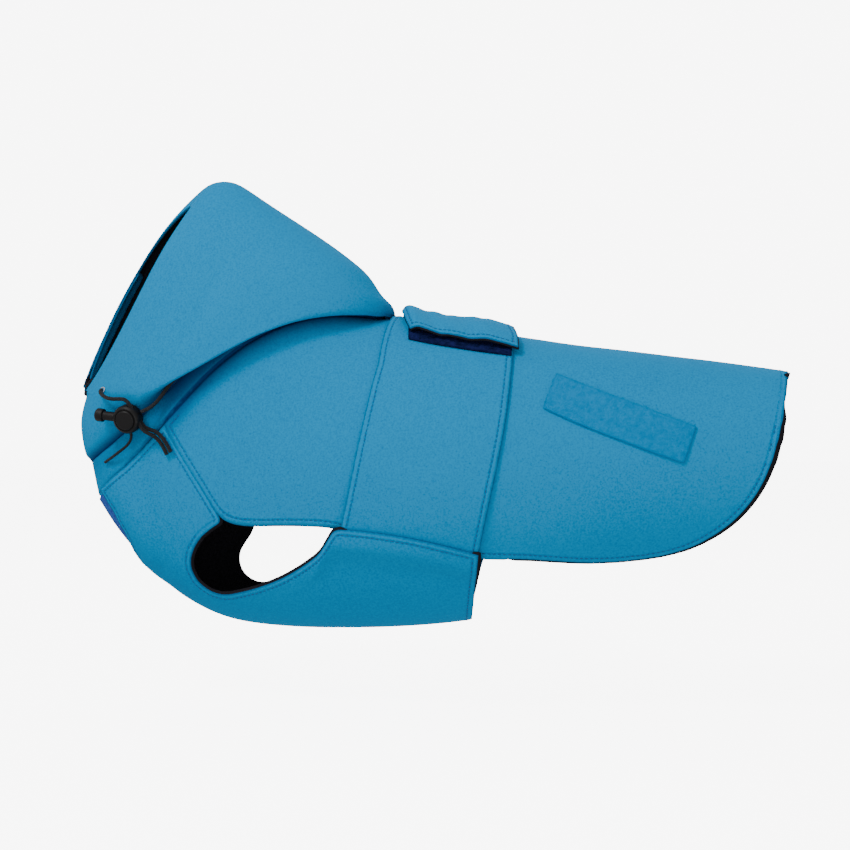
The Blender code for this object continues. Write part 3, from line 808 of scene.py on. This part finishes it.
def stitch_row(sheet, inset, keep):
    """Points along a row of stitches on a sheet, in runs, each point with the cloth's normal."""
    tree = BVHTree.FromPolygons(
        [vert.co for vert in sheet.data.vertices], [face.vertices for face in sheet.data.polygons])
    walks = border_walks(sheet.data)
    finder, _ = edge_finder(walks)
    runs = []
    for walk in walks:
        run = []
        for place, _, way in spaced(walk, STITCH / 3):
            spot = None
            if keep(place):
                _, normal, _, _ = tree.find_nearest(place)
                inward = normal.cross(way).normalized()
                spot, normal, _, _ = tree.find_nearest(place + inward * inset)
                if finder.find(spot)[2] < inset * CLEAR_SHARE:
                    spot = None
            if spot is None:
                if len(run) > LEAST_RUN:
                    runs.append(run)
                run = []
            else:
                run.append((spot, normal))
        if len(run) > LEAST_RUN:
            runs.append(run)
    return runs


def sew(name, runs, thread):
    """Lays stitches along runs of points, and joins them in one object."""
    build = bmesh.new()
    for run in runs:
        normals = {}
        places = []
        for spot, normal in run:
            if places and (spot - places[-1]).length < LEAST_STEP:
                continue
            normals[len(places)] = normal
            places.append(spot)
        marks = spaced(places, STITCH + STITCH_GAP, closed=False)
        lookup = KDTree(len(places))
        for index, spot in enumerate(places):
            lookup.insert(spot, index)
        lookup.balance()
        for spot, _, way in marks:
            normal = normals[lookup.find(spot)[1]]
            lay_stitch(build, spot + normal * STITCH_LIFT, way, normal)
    mesh = bpy.data.meshes.new(name)
    build.to_mesh(mesh)
    build.free()
    mesh.shade_smooth()
    thing = link(name, mesh)
    thing.data.materials.append(thread)
    return ride(thing)


def lay_stitch(build, middle, way, normal):
    """One capsule: hoops of a few points, the end ones small and sunk in the cloth."""
    side = way.cross(normal).normalized()
    up = side.cross(way).normalized()
    hoops = []
    for along, size, sink in HOOPS:
        centre = middle + way * along * STITCH - up * sink * MM
        hoop = []
        for corner in range(SIDES):
            turn = math.tau * corner / SIDES
            spoke = (side * math.cos(turn) + up * math.sin(turn)) * THREAD * size
            hoop.append(build.verts.new(centre + spoke))
        hoops.append(hoop)
    for first, second in zip(hoops, hoops[1:]):
        for corner in range(SIDES):
            other = (corner + 1) % SIDES
            build.faces.new((first[corner], first[other], second[other], second[corner]))
    build.faces.new(hoops[0][::-1])
    build.faces.new(hoops[-1])


print("stitches to a centimetre:", round(10 * MM / (STITCH + STITCH_GAP), 1))

# %% [markdown]
# Now each panel can be dressed in one call: the sheet of its node, smoothed, crumpled, sewn along
# the edges that a maker sews, and thickened. Each panel could have its own steps, but one function
# keeps all panels of the same cloth alike, and a call says only what differs.

# %% Dress a panel
def dress(node, stitched=always, lip=never, reach=SEAM_REACH, fold=no_fold):
    """Replaces a cloth node by its finished sheet and its stitches."""
    sheet = smoothed(node + "_cloth", outer_sheet(node, CLOTH), SMOOTHING)
    crumple(sheet, stitched, fold=fold)
    runs = stitch_row(sheet, STITCH_INSET * MM, stitched)
    parts = [sew(node + "_stitches", runs, BLUE_THREAD)] if runs else []
    thicken(sheet, CLOTH, [FACE, LINING], lip, reach)
    faces = len(sheet.data.polygons)
    print(node, "faces", faces, "area cm2", round(cloth_area(sheet) * 1e4), "stitch rows", len(runs))
    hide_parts(node)
    ride(sheet, COAT)
    round(cloth_area(sheet), 4)


# %% [markdown]
# The back panel is one saddle-shaped piece from the neck to the tail. It could be cut in halves
# with a seam on the spine, but no such seam shows. Its edges are topstitched, apart from the
# neck's behind the corner by the lock, which lies in the shade of the hood's fold; that shade is
# painted into the cloth's colour. The lining shows at the tail's hem, most near its end and hardly
# over the spine.

# %% Back panel
NECK_SEWN_TO = -0.188
NECK_SEAM = 4 * MM
NECK_REACH = 1.0 * MM
NECK_SHADE = 0.9
NECK_SHADE_FROM = (-0.215, -0.180)
NECK_SHADE_SPREAD = 9
BELT_REAR = (0.040, 0.048)
TAIL_LIP = (2.0, 3.0)
TAIL_END = (0.10, 0.20)
TAIL_SIDE = (0.042, 0.075)


def tail_hem(place):
    """How far the lining shows at the tail's hem: more towards the end, hardly over the spine."""
    width = TAIL_LIP[0] + (TAIL_LIP[1] - TAIL_LIP[0]) * ease(place.x, *TAIL_END)
    return width * ease(place.x, *BELT_REAR) * ease(-place.z, *TAIL_SIDE)


def surface_of(node):
    """A tree for the distance to a node of the frame."""
    build = merged_copy(node)
    tree = BVHTree.FromBMesh(build)
    build.free()
    return tree


collar_surface = surface_of("collar")


def by_collar(place):
    """Painted shade on the neck's edge, which lies in the shade of the hood's fold."""
    away = collar_surface.find_nearest(place)[3] / MM
    return Vector((0, 0, 0)), NECK_SHADE * ease(place.x, *NECK_SHADE_FROM) * fading(away, NECK_SHADE_SPREAD)


def back_stitched(place):
    """Every edge is topstitched but the neck's, behind the corner by the lock."""
    return place.x < NECK_SEWN_TO or collar_surface.find_nearest(place)[3] > NECK_SEAM


dress("back_panel", stitched=back_stitched, lip=tail_hem, reach=NECK_REACH, fold=by_collar)

# %% [markdown]
# The two chest halves meet in the belly seam, which is sewn from inside and shows no thread. Their
# outer edges are hemmed round the leg hole and across the belly, where the fleece shows as a
# dark line. The line could be a cord laid along the edge. Here the lining itself stands out past
# the face, so the line belongs to the cloth and can fade out towards a seam.

# %% Chest
BELLY_SEAM = 4.5 * MM
LEG_HOLE = ((-0.188, -0.214), (-0.062, -0.120))
LEG_LIP = 2.0
CHEST_REAR = (0.017, 0.023)
REAR_LIP = 2.2
HEM_EASE = 0.006


def off_belly_seam(place):
    return abs(place.y) > BELLY_SEAM


def chest_hem(place):
    """How far the lining shows round the leg hole and along the chest's rear edge."""
    (left, low), (right, high) = LEG_HOLE
    inside = (
        ease(place.x, left, left + HEM_EASE) * ease(-place.x, -right, HEM_EASE - right)
        * ease(place.z, low, low + HEM_EASE) * ease(-place.z, -high, HEM_EASE - high))
    hem = max(LEG_LIP * inside, REAR_LIP * ease(place.x, *CHEST_REAR))
    return hem * ease(abs(place.y), BELLY_SEAM, BELLY_SEAM + HEM_EASE)


dress("chest_left", stitched=off_belly_seam, lip=chest_hem)
dress("chest_right", stitched=off_belly_seam, lip=chest_hem)

# %% [markdown]
# The belt is two wings. The far wing crosses the spine and its end lies on the near wing as a
# soft flap, held by tape beneath. It could be one closed band, but the flap's free end and its
# lobes show, so each wing is its own sheet and the flap's hem shows its lining.

# %% Belt
FLAP_SIDE = (-0.015, -0.025)
FLAP_LIP = 1.1


def flap_hem(place):
    """How far the lining shows round the flap's free end."""
    return FLAP_LIP * ease(place.y, *FLAP_SIDE)


dress("belt_left")
dress("belt_right", lip=flap_hem)

# %% [markdown]
# The collar band joins the neck to the hood. The hood's fold hangs over it and keeps it in the
# dark. It could be left to the lamps, but the surround's light reaches under the fold and makes
# the band too pale. So part of the shade is in its colour, deepest by the hood behind the lock.

# %% Collar
COLLAR_REACH = 1.5 * MM
COLLAR_SHADE = (0.3, 1.0)
COLLAR_SHADE_FROM = (-0.215, -0.185)
COLLAR_SHADE_SPREAD = 16

hood_surface = [surface_of("hood_left"), surface_of("hood_right")]


def under_fold(place):
    """Painted shade: the collar is darkest next to the hood, behind the lock."""
    away = min(tree.find_nearest(place)[3] for tree in hood_surface) / MM
    shade = COLLAR_SHADE[0] + (COLLAR_SHADE[1] - COLLAR_SHADE[0]) * ease(place.x, *COLLAR_SHADE_FROM)
    return Vector((0, 0, 0)), shade * fading(away, COLLAR_SHADE_SPREAD)


dress("collar", stitched=never, reach=COLLAR_REACH, fold=under_fold)

# %% [markdown]
# The hood's halves meet in a seam over the crown. The brim is turned in and sewn, which makes the
# casing for the cord. Round the neck the hood's own slack hangs down over the collar in a fold. A
# simulation could let it hang. But the photograph shows where it hangs, and the fold has to stay
# in one piece with the hood, so each point of the hood sinks by its distance from the collar:
# most of all at the fold's edge and hardly at the seam.

# %% Hood
FOLD_DROP = 6.0 * MM
FOLD_MIDDLE = 13.0
FOLD_SPREAD = 8.5
SEAM_SHADE = 0.95
SEAM_SHADE_SPREAD = 8
LOCK_SHADE = 0.6
LOCK_SHADE_FROM = 9
LOCK_SHADE_SPREAD = 7
CASING_SMOOTHING = 1


def hang_over(place):
    """The hood's slack sinks over the collar, most of all at the fold's edge. Shade is painted
    into the cloth inside the fold and round the lock."""
    away = collar_surface.find_nearest(place)[3] / MM
    drop = FOLD_DROP * fading(away - FOLD_MIDDLE, FOLD_SPREAD)
    off_lock = max((place - LOCK_MIDDLE).length / MM - LOCK_SHADE_FROM, 0)
    in_fold = SEAM_SHADE * fading(away, SEAM_SHADE_SPREAD)
    return Vector((0, 0, -drop)), max(in_fold, LOCK_SHADE * fading(off_lock, LOCK_SHADE_SPREAD))


dress("hood_left", stitched=never, fold=hang_over)
dress("hood_right", stitched=never, fold=hang_over)


def dress_casing(node):
    """The casing is so narrow that its whole wall is smoothed at once."""
    thing = smoothed(node + "_cloth", merged_copy(node), CASING_SMOOTHING)
    # With no edge numbers, the face cloth takes it for all edge, so painted edge shade darkens the whole
    # casing.
    thing.data.materials.append(FACE)
    thing.data.shade_smooth()
    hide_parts(node)
    print(node, "faces", len(thing.data.polygons))
    ride(thing, COAT)


dress_casing("hood_casing_left")
dress_casing("hood_casing_right")

# %% [markdown]
# Hook and loop tape has a fuzzy pile. It could be grown as hair, but from this far two noises are
# enough: they darken the gaps between the tufts and raise their tops. The strips lie on the
# cloth, and each is made as a panel is, with no stitches.

# %% Tapes
TAPE = 1.0 * MM
PATCH_TAPE = 1.2 * MM
TAPE_EDGE_DIP = 0.2 * MM


def pile(name, base, deep):
    finish = Finish(name)
    place = finish.place()
    loops = finish.noise(place, 900.0, 4.0, 0.7)
    rows = finish.noise(place, 300.0, 2.0, 0.5)
    tint = finish.mix((loops * 1.2 + rows * 1.6 - 0.9).clamp(), opaque(deep), opaque(base))
    border = finish.number("edge_mm").bell(0.0, 0.8) * 0.6
    tint = finish.mix(border.clamp(), tint, opaque(deep))
    finish.set(Base_Color=tint, Roughness=0.95, Normal=finish.bump(loops + rows, 0.0007, 0.9))
    finish.set(Specular_IOR_Level=0.05)
    return finish.material


DARK_PILE = pile("dark tape", (0.012, 0.016, 0.10), (0.001, 0.003, 0.018))
BLUE_PILE = pile("blue tape", (0.0, 0.235, 0.51), (0.0, 0.175, 0.42))
VIOLET_PILE = pile("violet tape", (0.035, 0.15, 0.48), (0.03, 0.05, 0.30))


def dress_tape(node, material, thickness):
    """Replaces a tape node by a finished strip."""
    sheet = smoothed(node + "_pile", outer_sheet(node, thickness), SMOOTHING)
    crumple(sheet, never, edge_dip=TAPE_EDGE_DIP, pucker=0)
    thicken(sheet, thickness, [material], never)
    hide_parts(node)
    ride(sheet, COAT)
    print(node, "area cm2", round(cloth_area(sheet) * 1e4, 1))


dress_tape("belt_loop_tape", DARK_PILE, TAPE)
dress_tape("belt_hook_tape", DARK_PILE, TAPE)
dress_tape("closure_tape", VIOLET_PILE, TAPE)
dress_tape("tail_patch", BLUE_PILE, PATCH_TAPE)

# %% [markdown]
# The eyelet is a small pressed ring of bright metal. It could be spun anew, but it is only a few
# millimetres wide and its shape in the frame is right, so it stays and gets a better finish.

# %% Eyelet


def pressed_metal(name):
    finish = Finish(name)
    scratch = finish.noise(finish.place(), 1800.0, 3.0)
    finish.set(Base_Color=opaque(colour(206, 206, 210)), Metallic=1.0, Roughness=0.2 + scratch * 0.15)
    finish.set(Normal=finish.bump(scratch, 0.00003, 0.4))
    return finish.material


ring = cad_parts["eyelet"]
ring.data.materials.clear()
ring.data.materials.append(pressed_metal("eyelet steel"))
print("eyelet faces", len(ring.data.polygons))

# %% [markdown]
# The photograph has a plain white ground and soft light from all round, as in a product
# photographer's tent. Plain white walls could give both, but walls bright enough to look white
# here wash out the blue. So the camera sees the floor and the surround brighter than the cloth
# does: the floor's glow is kept off it, and it is lit by the dim surround and three soft lamps.

# %% Floor and light
FLOOR_DROP = 0.05
FLOOR_SIZE = 8.0
FLOOR_GLOW = 7.0
SURROUND_LIGHT = 0.76
SURROUND_SEEN = 8.0
# Each lamp: name, place, what it is aimed at, size and power
LAMPS = (
    ("key", (-0.75, -1.0, 1.25), (0, 0, -0.05), 0.45, 16),
    ("fill", (0.5, -1.7, -0.7), (0, 0, -0.1), 1.4, 14),
    ("back", (0.2, 1.4, 1.2), (0, 0, -0.05), 1.2, 8),
)

base = bmesh.new()
bmesh.ops.create_grid(base, x_segments=1, y_segments=1, size=FLOOR_SIZE)
for vert in base.verts:
    vert.co.z = cad_box[0][2] - FLOOR_DROP
floor_mesh = bpy.data.meshes.new("floor")
base.to_mesh(floor_mesh)
base.free()
floor = link("floor", floor_mesh)
pale = Finish("pale floor")
pale.set(Base_Color=opaque(colour(250, 250, 250)), Roughness=0.9)
pale.set(Emission_Color=opaque((1, 1, 1)), Emission_Strength=FLOOR_GLOW)
floor.data.materials.append(pale.material)
floor.visible_diffuse = floor.visible_glossy = False

world = bpy.data.worlds.new("white surround")
world.use_nodes = True
sky = world.node_tree
path = sky.nodes.new("ShaderNodeLightPath")
level = sky.nodes.new("ShaderNodeMapRange")
level.inputs["To Min"].default_value = SURROUND_LIGHT
level.inputs["To Max"].default_value = SURROUND_SEEN
sky.links.new(path.outputs["Is Camera Ray"], level.inputs["Value"])
sky.links.new(level.outputs["Result"], sky.nodes["Background"].inputs["Strength"])
sky.nodes["Background"].inputs["Color"].default_value = (1, 1, 1, 1)
bpy.context.scene.world = world


def soft_light(name, place, aim, size, power):
    lamp = bpy.data.lights.new(name, "AREA")
    lamp.size = size
    lamp.energy = power
    thing = bpy.data.objects.new(name, lamp)
    thing.location = place
    thing.rotation_euler = (Vector(aim) - Vector(place)).to_track_quat("-Z", "Y").to_euler()
    bpy.context.scene.collection.objects.link(thing)


for lamp in LAMPS:
    soft_light(*lamp)
print("lamps:", [lamp[0] for lamp in LAMPS])
